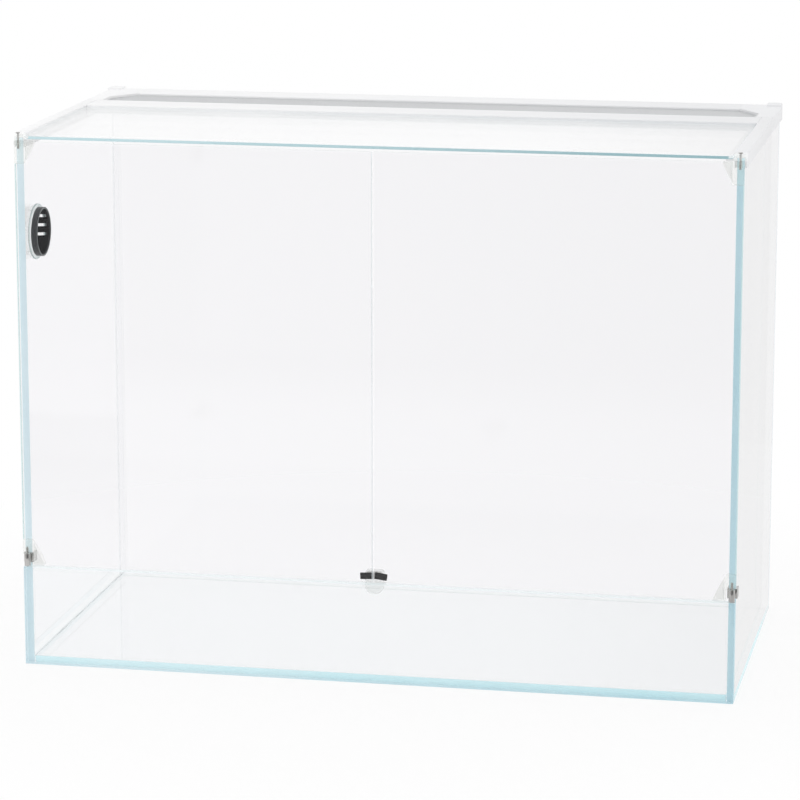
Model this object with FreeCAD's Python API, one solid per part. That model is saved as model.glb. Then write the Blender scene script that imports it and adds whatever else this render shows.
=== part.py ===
"""A rimless glass paludarium: a glued glass tank with a low front panel, two glass doors on pins,
a white frame with a long mesh vent on top, a lift-off glass lid and a round vent in the left wall.

Millimetres. +X is to the right, +Y to the back and +Z up. The origin is in the middle of the
footprint, on the surface that the tank stands on.
"""
import FreeCAD, Part
import math
import os
from FreeCAD import Vector

# Glass tank
TANK_WIDTH = 600.0
TANK_DEPTH = 300.0
WALL_TOP = 448.0
WALL_GLASS = 6.0
BASE_GLASS = 6.0
FRONT_PANEL_HEIGHT = 85.0
ARRIS = 0.6

# Silicone in the joints: the bond between two panes and the bead in the inner corner
SEAM = 0.6
BEAD = 2.2
SEAM_FOOT = 0.5

# White top frame
RAIL_WALL = 2.0
RAIL_FIT = 0.1
RAIL_CROWN = 4.0
RAIL_SKIRT = 8.0
RAIL_EDGE_RADIUS = 1.2
CORNER_POST = 13.0
CORNER_POST_RISE = 2.0
CORNER_BLOCK_RADIUS = 3.0

# Long vent slot at the back of the frame
SLOT_REAR_SETBACK = 30.0
SLOT_DEPTH = 50.0
SLOT_END_SETBACK = 13.0
SLOT_CORNER_X = 19.0
SLOT_CORNER_Y = 26.0
VENT_BAR_DEPTH = 35.0
VENT_BAR_SKIN = 3.0

# Steel mesh in the slot
MESH_LEDGE = 6.0
MESH_LEDGE_THICKNESS = 2.0
MESH_DROP = 2.4
MESH_SHEET = 0.8
MESH_FIT = 0.5
MESH_BAR = 1.6
MESH_COLUMNS = 50
MESH_ROWS = 5

# Lift-off lid
LID_GLASS = 3.0
LID_RECESS = 1.4
LID_FIT = 0.5
LID_SEAT_GAP = 0.1
LID_LEDGE = 7.0
LID_LEDGE_THICKNESS = 2.0
LID_CORNER_RADIUS = 5.0

# Doors
DOOR_GLASS = 4.0
DOOR_BOTTOM_GAP = 2.0
DOOR_TOP_GAP = 2.0
DOOR_MEETING_GAP = 1.0

# Pin hinges in the outer corners of the doors
HINGE_INSET = 3.0
SWING_CLEARANCE = 1.0
CHEEK = 1.6
PIN_RADIUS = 1.0
PIN_FIT = 0.05
PIN_CHAMFER = 0.3
CORNER_BULGE = 0.8
CORNER_BOND = 0.05
CORNER_NECK = 4.0
CORNER_SPINE = 6.5
LOWER_CORNER_REACH = 15.4
LOWER_CORNER_HEIGHT = 21.5
UPPER_CORNER_REACH = 14.0
UPPER_CORNER_HEIGHT = 18.5

# Lower hinge clip, bent from steel strip round the edge of the side glass
CLIP_STRIP = 1.2
CLIP_FIT = 0.1
CLIP_GRIP = 9.0
CLIP_HEIGHT = 8.3
CLIP_BEND = 1.0
CLIP_BARREL_WALL = 1.55
CLIP_BARREL_DROP = 2.0
CLIP_PANEL_GAP = 0.5
CLIP_NECK = 2.4
CLIP_CLEARANCE = 0.8
KNUCKLE_SEAT_GAP = 0.3
LOWER_PIN_RISE = 5.8

# Upper hinge: bracket on the rail, headed pin and flanged bush
BRACKET_DEPTH = 8.0
BRACKET_BOND = 0.1
BRACKET_RADIUS = 1.5
PIN_HEAD_LIP = 1.0
PIN_HEAD = 1.0
UPPER_PIN_REACH = 6.2
BUSH_WALL = 0.95
BUSH_LIP = 0.9
BUSH_FLANGE = 0.8
BUSH_GAP = 0.4
BUSH_LENGTH = 4.5
PIN_TIP_ROOM = 0.6

# Magnet catch on the front panel and strike plates on the doors
CATCH_WIDTH = 15.0
CATCH_THICKNESS = 8.0
CATCH_BOND = 0.1
CATCH_GRIP = 9.6
CATCH_WALL = 1.5
CATCH_TOP_WALL = 1.0
CATCH_SHOULDER_RADIUS = 2.0
CATCH_FOOT_FLAT = 3.0
CATCH_EDGE_RADIUS = 0.8
MAGNET_HEIGHT = 6.0
MAGNET_DEPTH = 4.0
MAGNET_FIT = 0.05
MAGNET_AIR_GAP = 0.3
PLATE_WIDTH = 10.5
PLATE_HEIGHT = 5.6
PLATE_THICKNESS = 1.0
PLATE_BOND = 0.1
PLATE_EDGE_GAP = 0.1
PLATE_RISE = 4.0
PLATE_CORNER_RADIUS = 0.5
LEFT_PLATE_TILT = 3.0
RIGHT_PLATE_TILT = 8.0

# Round vent in the left wall
VENT_FROM_FRONT = 36.5
VENT_FROM_TOP = 83.0
VENT_HOLE_RADIUS = 21.5
VENT_FIT = 0.1
GROMMET_LIP = 1.7
GROMMET_FLANGE = 1.8
GROMMET_COLLAR = 1.2
COLLAR_END_GAP = 0.6
CAP_RADIUS = 20.5
CAP_WALL = 1.5
CAP_FACE = 0.8
CAP_DEPTH = 5.0
CAP_RIM = 1.4
CAP_SLOTS = 3
CAP_SLOT_LENGTH = 26.0
CAP_SLOT_HEIGHT = 2.4
CAP_SLOT_PITCH = 7.6
CAP_SLOT_TOP = 13.2
CAP_SLOT_MARGIN = 0.4
CAP_TURN = -9.0

# Places worked out from the sizes above
HALF_WIDTH = TANK_WIDTH / 2
HALF_DEPTH = TANK_DEPTH / 2
INNER_X = HALF_WIDTH - WALL_GLASS
INNER_Y = HALF_DEPTH - WALL_GLASS
SIDE_END_Y = INNER_Y - SEAM

RAIL_OUTER = HALF_WIDTH + RAIL_FIT + RAIL_WALL
RAIL_INNER = INNER_X - RAIL_FIT - RAIL_WALL
RAIL_BACK = HALF_DEPTH + RAIL_FIT + RAIL_WALL
RAIL_FORE = INNER_Y - RAIL_FIT - RAIL_WALL
RAIL_FOOT = WALL_TOP - RAIL_SKIRT
RAIL_TOP = WALL_TOP + RAIL_CROWN

SLOT_REAR = HALF_DEPTH - SLOT_REAR_SETBACK
SLOT_FRONT = SLOT_REAR - SLOT_DEPTH
SLOT_HALF = HALF_WIDTH - SLOT_END_SETBACK
BLOCK_INNER = SLOT_HALF - SLOT_CORNER_X
BAR_FRONT = SLOT_FRONT - VENT_BAR_DEPTH
MESH_SEAT = RAIL_TOP - MESH_DROP
MESH_LEDGE_FOOT = MESH_SEAT - MESH_LEDGE_THICKNESS

LID_TOP = RAIL_TOP - LID_RECESS
LID_BOTTOM = LID_TOP - LID_GLASS
LID_LEDGE_TOP = LID_BOTTOM - LID_SEAT_GAP
LID_LEDGE_FOOT = LID_LEDGE_TOP - LID_LEDGE_THICKNESS

PIN_BORE = PIN_RADIUS + PIN_FIT
BUSH_RADIUS = PIN_BORE + BUSH_WALL
KNUCKLE_RADIUS = DOOR_GLASS / 2 + CHEEK
HINGE_X = HALF_WIDTH - HINGE_INSET
HINGE_Y = -SIDE_END_Y - SWING_CLEARANCE - KNUCKLE_RADIUS
DOOR_OUTER = HINGE_X + math.sqrt(KNUCKLE_RADIUS ** 2 - (DOOR_GLASS / 2) ** 2)
DOOR_INNER = DOOR_MEETING_GAP / 2
DOOR_FRONT = HINGE_Y - DOOR_GLASS / 2
DOOR_BACK = HINGE_Y + DOOR_GLASS / 2
DOOR_BOTTOM = FRONT_PANEL_HEIGHT + DOOR_BOTTOM_GAP
DOOR_TOP = LID_BOTTOM - DOOR_TOP_GAP

BARREL_FOOT = FRONT_PANEL_HEIGHT + CLIP_PANEL_GAP
CLIP_FOOT = BARREL_FOOT + CLIP_BARREL_DROP
CLIP_TOP = CLIP_FOOT + CLIP_HEIGHT
CLIP_FRONT = -SIDE_END_Y - CLIP_STRIP
CLIP_INNER = INNER_X - CLIP_FIT - CLIP_STRIP

VENT_Y = -HALF_DEPTH + VENT_FROM_FRONT
VENT_HEIGHT = WALL_TOP - VENT_FROM_TOP

UP = Vector(0, 0, 1)
TOUCH = 1e-6


def box(x0, x1, y0, y1, z0, z1):
    return Part.makeBox(x1 - x0, y1 - y0, z1 - z0, Vector(x0, y0, z0))


def pane(x0, x1, y0, y1, z0, z1):
    """A sheet of glass with a small ground chamfer on every edge."""
    sheet = box(x0, x1, y0, y1, z0, z1)
    return sheet.makeChamfer(ARRIS, sheet.Edges)


def upright(radius, z0, z1, x=HINGE_X, y=HINGE_Y):
    return Part.makeCylinder(radius, z1 - z0, Vector(x, y, z0), UP)


def across(radius, x0, x1):
    """A cylinder through the left wall, on the axis of the round vent."""
    return Part.makeCylinder(radius, x1 - x0, Vector(x0, VENT_Y, VENT_HEIGHT), Vector(1, 0, 0))


def polygon(points):
    return Part.makePolygon(points + points[:1])


def prism(points, direction):
    return Part.Face(polygon(points)).extrude(direction)


def mirrored(shape):
    return shape.mirror(Vector(0, 0, 0), Vector(1, 0, 0))


def rounded_top(shape, radius, top, side):
    """Rounds the edges that lie in the plane z = top and pass the test named side."""
    edges = [
        edge
        for edge in shape.Edges
        if abs(edge.BoundBox.ZMin - top) < TOUCH
        and abs(edge.BoundBox.ZMax - top) < TOUCH
        and side(edge.BoundBox)
    ]
    return shape.makeFillet(radius, edges)


# The five panes of the tank. The front panel and the back run the full width, the side panes stand
# between them and the floor lies inside, each parted from the next by the silicone bond.
def tank_glass():
    floor_x = INNER_X - SEAM
    hole = across(VENT_HOLE_RADIUS, -HALF_WIDTH - WALL_GLASS, -INNER_X + WALL_GLASS)
    right_side = pane(INNER_X, HALF_WIDTH, -SIDE_END_Y, SIDE_END_Y, 0, WALL_TOP)
    return {
        "base_glass": pane(-floor_x, floor_x, -SIDE_END_Y, SIDE_END_Y, 0, BASE_GLASS),
        "back_glass": pane(-HALF_WIDTH, HALF_WIDTH, INNER_Y, HALF_DEPTH, 0, WALL_TOP),
        "front_lower_glass": pane(
            -HALF_WIDTH, HALF_WIDTH, -HALF_DEPTH, -INNER_Y, 0, FRONT_PANEL_HEIGHT
        ),
        "right_side_glass": right_side,
        "left_side_glass": mirrored(right_side).cut(hole),
    }


def rectangle(half_x, half_y, z):
    return polygon(
        [
            Vector(-half_x, -half_y, z),
            Vector(half_x, -half_y, z),
            Vector(half_x, half_y, z),
            Vector(-half_x, half_y, z),
        ]
    )


# Silicone round the floor: a thin bond beside the pane and a three-cornered bead on top of it.
def floor_seam():
    floor_x = INNER_X - SEAM
    bond = box(-INNER_X, INNER_X, -INNER_Y, INNER_Y, SEAM_FOOT, BASE_GLASS)
    bond = bond.cut(box(-floor_x, floor_x, -SIDE_END_Y, SIDE_END_Y, 0, BASE_GLASS))
    bead_top = BASE_GLASS + BEAD
    bead = box(-INNER_X, INNER_X, -INNER_Y, INNER_Y, BASE_GLASS, bead_top)
    hollow = Part.makeLoft(
        [
            rectangle(INNER_X - BEAD, INNER_Y - BEAD, BASE_GLASS),
            rectangle(INNER_X, INNER_Y, bead_top),
        ],
        True,
        True,
    )
    return bond.fuse(bead.cut(hollow)).removeSplitter()


# Silicone in an upright corner: the bond at the end of the side pane and a bead in the corner.
def corner_seam(back, bead_top):
    wall_y = INNER_Y if back else -INNER_Y
    inward = -1 if back else 1
    bond_y = sorted([wall_y, wall_y + inward * SEAM])
    bond = box(INNER_X, HALF_WIDTH, bond_y[0], bond_y[1], SEAM_FOOT, bead_top)
    bead_foot = BASE_GLASS + BEAD
    bead = prism(
        [
            Vector(INNER_X, wall_y, bead_foot),
            Vector(INNER_X - BEAD, wall_y, bead_foot),
            Vector(INNER_X, wall_y + inward * BEAD, bead_foot),
        ],
        Vector(0, 0, bead_top - bead_foot),
    )
    return bond.fuse(bead).removeSplitter()


def seams():
    rear_top = RAIL_FOOT - SEAM
    front_top = FRONT_PANEL_HEIGHT - SEAM
    right_rear = corner_seam(True, rear_top)
    right_front = corner_seam(False, front_top)
    return {
        "floor_seam": floor_seam(),
        "right_rear_seam": right_rear,
        "left_rear_seam": mirrored(right_rear),
        "right_front_seam": right_front,
        "left_front_seam": mirrored(right_front),
    }


# A side rail is a channel that sits over the top edge of the side pane, with a ledge for the lid.
def side_rail():
    channel = [
        Vector(RAIL_OUTER, -INNER_Y, RAIL_FOOT),
        Vector(RAIL_OUTER, -INNER_Y, RAIL_TOP),
        Vector(RAIL_INNER, -INNER_Y, RAIL_TOP),
        Vector(RAIL_INNER, -INNER_Y, RAIL_FOOT),
        Vector(INNER_X - RAIL_FIT, -INNER_Y, RAIL_FOOT),
        Vector(INNER_X - RAIL_FIT, -INNER_Y, WALL_TOP),
        Vector(HALF_WIDTH + RAIL_FIT, -INNER_Y, WALL_TOP),
        Vector(HALF_WIDTH + RAIL_FIT, -INNER_Y, RAIL_FOOT),
    ]
    rail = prism(channel, Vector(0, SLOT_FRONT + INNER_Y, 0))
    rail = rounded_top(rail, RAIL_EDGE_RADIUS, RAIL_TOP, lambda b: b.XMin > RAIL_OUTER - RAIL_WALL)
    ledge = box(
        RAIL_INNER - LID_LEDGE,
        RAIL_INNER,
        -INNER_Y,
        BAR_FRONT - LID_LEDGE,
        LID_LEDGE_FOOT,
        LID_LEDGE_TOP,
    )
    return rail.fuse(ledge).removeSplitter()


# The bar between the lid and the vent slot: a channel with a ledge for the lid and one for the mesh.
def vent_front_bar():
    front, rear = BAR_FRONT, SLOT_FRONT
    section = [
        Vector(-RAIL_INNER, front - LID_LEDGE, LID_LEDGE_FOOT),
        Vector(-RAIL_INNER, front + RAIL_WALL, LID_LEDGE_FOOT),
        Vector(-RAIL_INNER, front + RAIL_WALL, RAIL_TOP - VENT_BAR_SKIN),
        Vector(-RAIL_INNER, rear - RAIL_WALL, RAIL_TOP - VENT_BAR_SKIN),
        Vector(-RAIL_INNER, rear - RAIL_WALL, MESH_LEDGE_FOOT),
        Vector(-RAIL_INNER, rear, MESH_LEDGE_FOOT),
        Vector(-RAIL_INNER, rear, RAIL_TOP),
        Vector(-RAIL_INNER, front, RAIL_TOP),
        Vector(-RAIL_INNER, front, LID_LEDGE_TOP),
        Vector(-RAIL_INNER, front - LID_LEDGE, LID_LEDGE_TOP),
    ]
    bar = prism(section, Vector(2 * RAIL_INNER, 0, 0))
    bar = rounded_top(bar, RAIL_EDGE_RADIUS, RAIL_TOP, lambda b: b.YLength < TOUCH)
    ledge = box(
        -BLOCK_INNER, BLOCK_INNER, rear, rear + MESH_LEDGE, MESH_LEDGE_FOOT, MESH_SEAT
    )
    return bar.fuse(ledge).removeSplitter()


# The rear rail sits over the back pane and carries the rear edge of the mesh.
def rear_top_rail():
    section = [
        Vector(-BLOCK_INNER, RAIL_BACK, RAIL_FOOT),
        Vector(-BLOCK_INNER, RAIL_BACK, RAIL_TOP),
        Vector(-BLOCK_INNER, SLOT_REAR, RAIL_TOP),
        Vector(-BLOCK_INNER, SLOT_REAR, MESH_SEAT),
        Vector(-BLOCK_INNER, SLOT_REAR - MESH_LEDGE, MESH_SEAT),
        Vector(-BLOCK_INNER, SLOT_REAR - MESH_LEDGE, MESH_LEDGE_FOOT),
        Vector(-BLOCK_INNER, SLOT_REAR + RAIL_WALL, MESH_LEDGE_FOOT),
        Vector(-BLOCK_INNER, SLOT_REAR + RAIL_WALL, WALL_TOP),
        Vector(-BLOCK_INNER, RAIL_FORE, WALL_TOP),
        Vector(-BLOCK_INNER, RAIL_FORE, RAIL_FOOT),
        Vector(-BLOCK_INNER, INNER_Y - RAIL_FIT, RAIL_FOOT),
        Vector(-BLOCK_INNER, INNER_Y - RAIL_FIT, WALL_TOP),
        Vector(-BLOCK_INNER, HALF_DEPTH + RAIL_FIT, WALL_TOP),
        Vector(-BLOCK_INNER, HALF_DEPTH + RAIL_FIT, RAIL_FOOT),
    ]
    rail = prism(section, Vector(2 * BLOCK_INNER, 0, 0))
    return rounded_top(rail, RAIL_EDGE_RADIUS, RAIL_TOP, lambda b: b.YLength < TOUCH)


def slot_outline(z):
    """The slot seen from above: a long rectangle whose two rear corners are cut off."""
    return polygon(
        [
            Vector(-SLOT_HALF, SLOT_FRONT, z),
            Vector(SLOT_HALF, SLOT_FRONT, z),
            Vector(SLOT_HALF, SLOT_REAR - SLOT_CORNER_Y, z),
            Vector(BLOCK_INNER, SLOT_REAR, z),
            Vector(-BLOCK_INNER, SLOT_REAR, z),
            Vector(-SLOT_HALF, SLOT_REAR - SLOT_CORNER_Y, z),
        ]
    )


def slot_solid(grow, z0, z1):
    """The slot's outline, grown by a distance and drawn up between two heights."""
    face = Part.Face(slot_outline(z0))
    if grow:
        face = face.makeOffset2D(grow, 2)
    return face.extrude(Vector(0, 0, z1 - z0))


def round_corner(inner_x, front_y, top):
    """A block in the frame's rear corner, with its outer upright edge rounded off."""
    block = box(inner_x, RAIL_OUTER, front_y, RAIL_BACK, RAIL_FOOT, top)
    outer_edges = [
        edge
        for edge in block.Edges
        if abs(edge.BoundBox.XMin - RAIL_OUTER) < TOUCH
        and abs(edge.BoundBox.YMin - RAIL_BACK) < TOUCH
    ]
    return block.makeFillet(CORNER_BLOCK_RADIUS, outer_edges)


# A corner block caps the rear corner of the tank. A square post in its outer corner stands a little
# higher than the rails. The block takes in the cut corner of the slot and carries the end of the mesh
# on a ledge.
def corner_block():
    block = round_corner(BLOCK_INNER, SLOT_FRONT, RAIL_TOP)
    block = rounded_top(
        block,
        RAIL_EDGE_RADIUS,
        RAIL_TOP,
        lambda b: b.XMax > BLOCK_INNER + TOUCH and b.YMax > SLOT_FRONT + TOUCH,
    )
    top = RAIL_TOP + CORNER_POST_RISE
    post = round_corner(RAIL_OUTER - CORNER_POST, RAIL_BACK - CORNER_POST, top)
    post = rounded_top(post, RAIL_EDGE_RADIUS, top, lambda b: True)
    block = block.fuse(post).removeSplitter()
    under_deck = box(BLOCK_INNER, RAIL_INNER, SLOT_FRONT, RAIL_FORE, RAIL_FOOT, WALL_TOP)
    seat = slot_solid(RAIL_WALL, MESH_LEDGE_FOOT, WALL_TOP)
    under_deck = under_deck.cut(seat)
    side_groove = box(
        INNER_X - RAIL_FIT,
        HALF_WIDTH + RAIL_FIT,
        SLOT_FRONT,
        HALF_DEPTH + RAIL_FIT,
        RAIL_FOOT,
        WALL_TOP,
    )
    rear_groove = box(
        BLOCK_INNER,
        HALF_WIDTH + RAIL_FIT,
        INNER_Y - RAIL_FIT,
        HALF_DEPTH + RAIL_FIT,
        RAIL_FOOT,
        WALL_TOP,
    )
    recess = slot_solid(0, MESH_SEAT, top)
    throat = slot_solid(-MESH_LEDGE, MESH_LEDGE_FOOT, MESH_SEAT)
    block = block.cut([under_deck, side_groove, rear_groove, recess, throat])
    return block.removeSplitter()


# The mesh: one flat sheet with its gaps, cut to the slot and laid on the ledges.
def vent_mesh():
    outline = Part.Face(slot_outline(MESH_SEAT)).makeOffset2D(-MESH_FIT, 2)
    border = outline.makeOffset2D(-MESH_BAR, 2)
    bounds = outline.BoundBox
    pitch_x = (bounds.XLength - MESH_BAR) / MESH_COLUMNS
    pitch_y = (bounds.YLength - MESH_BAR) / MESH_ROWS
    gaps = []
    for column in range(MESH_COLUMNS):
        for row in range(MESH_ROWS):
            x0 = bounds.XMin + MESH_BAR + column * pitch_x
            y0 = bounds.YMin + MESH_BAR + row * pitch_y
            x1 = x0 + pitch_x - MESH_BAR
            y1 = y0 + pitch_y - MESH_BAR
            corners = [
                Vector(x0, y0, MESH_SEAT),
                Vector(x1, y0, MESH_SEAT),
                Vector(x1, y1, MESH_SEAT),
                Vector(x0, y1, MESH_SEAT),
            ]
            if all(border.isInside(corner, TOUCH, True) for corner in corners):
                gaps.append(polygon(corners))
    holed = Part.makeFace([outline.OuterWire] + gaps, "Part::FaceMakerBullseye")
    return holed.extrude(Vector(0, 0, MESH_SHEET))


def top_frame():
    rail = side_rail()
    block = corner_block()
    return {
        "right_top_rail": rail,
        "left_top_rail": mirrored(rail),
        "rear_top_rail": rear_top_rail(),
        "vent_front_bar": vent_front_bar(),
        "right_corner_block": block,
        "left_corner_block": mirrored(block),
        "vent_mesh": vent_mesh(),
    }


# The lid lies between the rails, flush with the front, and its front corners are rounded off.
def top_lid_glass():
    half_x = RAIL_INNER - LID_FIT
    lid = box(-half_x, half_x, -HALF_DEPTH, BAR_FRONT - LID_FIT, LID_BOTTOM, LID_TOP)
    corners = [
        edge
        for edge in lid.Edges
        if edge.BoundBox.ZLength > LID_GLASS / 2 and edge.BoundBox.YMax < -INNER_Y
    ]
    lid = lid.makeFillet(LID_CORNER_RADIUS, corners)
    rims = [edge for edge in lid.Edges if edge.BoundBox.ZLength < LID_GLASS / 2]
    return lid.makeChamfer(ARRIS, rims)


# A door pane, with its two outer corners cut away for the hinge corners. Grown by the bond, it is the
# room that the hinge corners leave for the pane.
def door_glass(grow=0):
    door = pane(
        DOOR_INNER - grow,
        DOOR_OUTER + grow,
        DOOR_FRONT - grow,
        DOOR_BACK + grow,
        DOOR_BOTTOM - grow,
        DOOR_TOP + grow,
    )
    spine = HINGE_X - CORNER_SPINE + grow
    lower = box(
        spine,
        DOOR_OUTER + CORNER_SPINE,
        DOOR_FRONT - CHEEK,
        DOOR_BACK + CHEEK,
        DOOR_BOTTOM - CHEEK,
        DOOR_BOTTOM + LOWER_CORNER_HEIGHT - grow,
    )
    upper = box(
        spine,
        DOOR_OUTER + CORNER_SPINE,
        DOOR_FRONT - CHEEK,
        DOOR_BACK + CHEEK,
        DOOR_TOP - UPPER_CORNER_HEIGHT + grow,
        DOOR_TOP + CHEEK,
    )
    return door.cut([lower, upper])


def corner_plate(reach, height, edge_z, rise):
    """The outline of a hinge corner as a plate as thick as the knuckle, with a swelling long side.

    It starts at the door's edge at height edge_z, and rise is 1 upwards or -1 downwards.
    """
    front = HINGE_Y - KNUCKLE_RADIUS
    tip = Vector(HINGE_X - reach, front, edge_z)
    root = Vector(HINGE_X, front, edge_z)
    shoulder = Vector(HINGE_X, front, edge_z + rise * height)
    neck = Vector(HINGE_X - CORNER_NECK, front, edge_z + rise * height)
    chord = tip - neck
    outward = Vector(-abs(chord.z), 0, rise * abs(chord.x)).normalize()
    crown = (tip + neck) * 0.5 + outward * CORNER_BULGE
    edges = [
        Part.LineSegment(tip, root).toShape(),
        Part.LineSegment(root, shoulder).toShape(),
        Part.LineSegment(shoulder, neck).toShape(),
        Part.Arc(neck, crown, tip).toShape(),
    ]
    return Part.Face(Part.Wire(edges)).extrude(Vector(0, 2 * KNUCKLE_RADIUS, 0))


# A lower hinge corner: two cheeks on the door pane, joined by a knuckle that turns on the lower pin.
# Its foot is cut back so that it swings clear of the clip.
def lower_hinge_corner(door_room):
    top = DOOR_BOTTOM + LOWER_CORNER_HEIGHT
    plate = corner_plate(LOWER_CORNER_REACH, LOWER_CORNER_HEIGHT, DOOR_BOTTOM, 1)
    clip_room = box(
        CLIP_INNER - CLIP_CLEARANCE,
        HALF_WIDTH + WALL_GLASS,
        HINGE_Y - 2 * KNUCKLE_RADIUS,
        HINGE_Y + 2 * KNUCKLE_RADIUS,
        DOOR_BOTTOM - CLIP_HEIGHT,
        CLIP_TOP + KNUCKLE_SEAT_GAP,
    )
    knuckle = upright(KNUCKLE_RADIUS, DOOR_BOTTOM, top)
    bore_top = CLIP_TOP + LOWER_PIN_RISE + PIN_TIP_ROOM
    bore = upright(PIN_BORE, CLIP_FOOT, bore_top)
    return plate.fuse(knuckle).cut([clip_room, door_room, bore]).removeSplitter()


# An upper hinge corner: the same shape turned over, bored for the flanged bush and the pin's tip.
def upper_hinge_corner(door_room):
    plate = corner_plate(UPPER_CORNER_REACH, UPPER_CORNER_HEIGHT, DOOR_TOP, -1)
    knuckle = upright(KNUCKLE_RADIUS, DOOR_TOP - UPPER_CORNER_HEIGHT, DOOR_TOP)
    bush_bore = upright(BUSH_RADIUS + PIN_FIT, DOOR_TOP - BUSH_LENGTH, DOOR_TOP)
    tip_bore = upright(PIN_BORE, DOOR_TOP - UPPER_PIN_REACH - PIN_TIP_ROOM, DOOR_TOP)
    return plate.fuse(knuckle).cut([door_room, bush_bore, tip_bore]).removeSplitter()


def pin(z0, z1):
    rod = upright(PIN_RADIUS, z0, z1)
    return rod.makeChamfer(PIN_CHAMFER, rod.Edges)


# The upper pin hangs by its head in the bracket and reaches down into the bush.
def upper_hinge_pin():
    rod = upright(PIN_RADIUS, DOOR_TOP - UPPER_PIN_REACH, RAIL_TOP)
    head = upright(PIN_RADIUS + PIN_HEAD_LIP, RAIL_TOP, RAIL_TOP + PIN_HEAD)
    head = head.makeChamfer(PIN_CHAMFER, head.Edges)
    return rod.fuse(head).removeSplitter()


def upper_hinge_bush():
    sleeve = upright(BUSH_RADIUS, DOOR_TOP - BUSH_LENGTH, DOOR_TOP)
    flange = upright(BUSH_RADIUS + BUSH_LIP, DOOR_TOP, DOOR_TOP + BUSH_FLANGE)
    bore = upright(PIN_BORE, DOOR_TOP - BUSH_LENGTH, DOOR_TOP + BUSH_FLANGE)
    return sleeve.fuse(flange).cut(bore).removeSplitter()


# The upper bracket stands on the front end of the side rail, over the door's corner.
def upper_hinge_bracket():
    foot = DOOR_TOP + BUSH_FLANGE + BUSH_GAP
    back = -INNER_Y - BRACKET_BOND
    bracket = box(RAIL_INNER, RAIL_OUTER, -INNER_Y - BRACKET_DEPTH, back, foot, RAIL_TOP)
    front_edges = [
        edge
        for edge in bracket.Edges
        if edge.BoundBox.ZLength > BRACKET_RADIUS and edge.BoundBox.YMax < back - TOUCH
    ]
    bracket = bracket.makeFillet(BRACKET_RADIUS, front_edges)
    return bracket.cut(upright(PIN_BORE, foot, RAIL_TOP))


# The lower clip: a strip bent round the front edge of the side pane, with a barrel that holds the pin.
def lower_hinge_clip():
    outer_x = HALF_WIDTH + CLIP_FIT + CLIP_STRIP
    grip_end = -SIDE_END_Y + CLIP_GRIP
    strap = box(CLIP_INNER, outer_x, CLIP_FRONT, grip_end, CLIP_FOOT, CLIP_TOP)
    outer_bends = [
        edge
        for edge in strap.Edges
        if edge.BoundBox.ZLength > CLIP_HEIGHT / 2 and edge.BoundBox.YMax < -SIDE_END_Y
    ]
    strap = strap.makeFillet(CLIP_BEND, outer_bends)
    glass_room = box(
        INNER_X - CLIP_FIT, HALF_WIDTH + CLIP_FIT, -SIDE_END_Y, grip_end, CLIP_FOOT, CLIP_TOP
    )
    barrel = upright(PIN_BORE + CLIP_BARREL_WALL, BARREL_FOOT, CLIP_TOP)
    neck = box(
        HINGE_X - CLIP_NECK / 2,
        HINGE_X + CLIP_NECK / 2,
        HINGE_Y,
        -SIDE_END_Y,
        CLIP_FOOT,
        CLIP_TOP,
    )
    bore = upright(PIN_BORE, BARREL_FOOT, CLIP_TOP)
    clip = strap.cut(glass_room).fuse([barrel, neck]).cut(bore)
    return clip.removeSplitter()


def door_and_hinges():
    door_room = door_glass(CORNER_BOND)
    pieces = {
        "door_glass": door_glass(),
        "lower_hinge_corner": lower_hinge_corner(door_room),
        "upper_hinge_corner": upper_hinge_corner(door_room),
        "upper_hinge_bush": upper_hinge_bush(),
        "upper_hinge_pin": upper_hinge_pin(),
        "upper_hinge_bracket": upper_hinge_bracket(),
        "lower_hinge_clip": lower_hinge_clip(),
        "lower_hinge_pin": pin(BARREL_FOOT, CLIP_TOP + LOWER_PIN_RISE),
    }
    both = {"right_" + name: shape for name, shape in pieces.items()}
    both.update({"left_" + name: mirrored(shape) for name, shape in pieces.items()})
    return both


# The catch: a body with a round foot, bonded behind the front panel, and a bar magnet let into it
# that faces the doors.
def catch():
    magnet_middle = DOOR_BOTTOM + PLATE_RISE
    magnet_low = magnet_middle - MAGNET_HEIGHT / 2
    magnet_high = magnet_middle + MAGNET_HEIGHT / 2
    magnet_front = DOOR_BACK + PLATE_BOND + PLATE_THICKNESS + MAGNET_AIR_GAP
    magnet_back = magnet_front + MAGNET_DEPTH
    magnet_x = CATCH_WIDTH / 2 - CATCH_WALL
    magnet = box(-magnet_x, magnet_x, magnet_front, magnet_back, magnet_low, magnet_high)
    pocket = box(
        -magnet_x - MAGNET_FIT,
        magnet_x + MAGNET_FIT,
        magnet_front,
        magnet_back + MAGNET_FIT,
        magnet_low - MAGNET_FIT,
        magnet_high + MAGNET_FIT,
    )
    foot = FRONT_PANEL_HEIGHT - CATCH_GRIP
    top = magnet_high + CATCH_TOP_WALL
    front = -INNER_Y + CATCH_BOND
    half_x = CATCH_WIDTH / 2
    body = box(-half_x, half_x, front, front + CATCH_THICKNESS, foot, top)
    for level, radius in ((top, CATCH_SHOULDER_RADIUS), (foot, half_x - CATCH_FOOT_FLAT / 2)):
        corners = [
            edge
            for edge in body.Edges
            if edge.BoundBox.YLength > CATCH_THICKNESS / 2
            and abs(edge.BoundBox.ZMin - level) < TOUCH
        ]
        body = body.makeFillet(radius, corners)
    inner_rim = [edge for edge in body.Edges if edge.BoundBox.YMin > front + CATCH_THICKNESS / 2]
    body = body.makeFillet(CATCH_EDGE_RADIUS, inner_rim)
    return {"catch_body": body.cut(pocket), "catch_magnet": magnet}


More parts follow.
